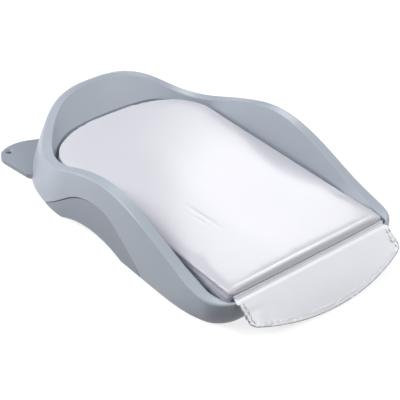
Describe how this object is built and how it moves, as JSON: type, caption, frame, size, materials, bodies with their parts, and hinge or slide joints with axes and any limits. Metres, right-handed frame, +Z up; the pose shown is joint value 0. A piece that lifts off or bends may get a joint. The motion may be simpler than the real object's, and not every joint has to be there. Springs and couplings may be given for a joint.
{
  "type": "baby changing tray",
  "caption": "Table-top baby changing tray: moulded shell with raised head and sides on a base tray, with a lift-out wipe-clean mattress and a film flap at the foot.",
  "frame": {"origin": "on the standing surface, midway between the flap's lowest edge and the tips of the two ears, on the centre line", "axes": "+Y towards the head end, +X to the right seen from the foot end, +Z up"},
  "size_m": [0.5152, 0.8712, 0.1469],
  "materials": {
    "shell_plastic": "satin",
    "base_plastic": "satin",
    "zinc_steel": "zinc plated",
    "foot_rubber": "matt",
    "foam": "open-cell foam",
    "coated_cover": "wipe-clean coating, soft gloss",
    "clear_film": "frosted film"
  },
  "bodies": {
    "tray": {"upper_shell": "shell_plastic", "base_tray": "base_plastic", "base_screws": "zinc_steel", "rubber_feet": "foot_rubber"},
    "mattress": {"mattress_core": "foam", "mattress_cover_top": "coated_cover", "mattress_cover_base": "coated_cover", "cover_welt": "coated_cover", "flap_strip": "clear_film"},
    "flap": {"flap_film": "clear_film", "flap_hem": "clear_film"}
  },
  "joints": [
    {"name": "mattress_lift", "type": "slide", "parent": "tray", "child": "mattress", "axis": [0, 0, 1], "range_m": [0, 0.25]},
    {"name": "flap_fold", "type": "hinge", "parent": "mattress", "child": "flap", "pos_m": [0, -0.36365, 0.0597], "axis": [-1, 0, 0], "range_deg": [-1, 155]}
  ]
}
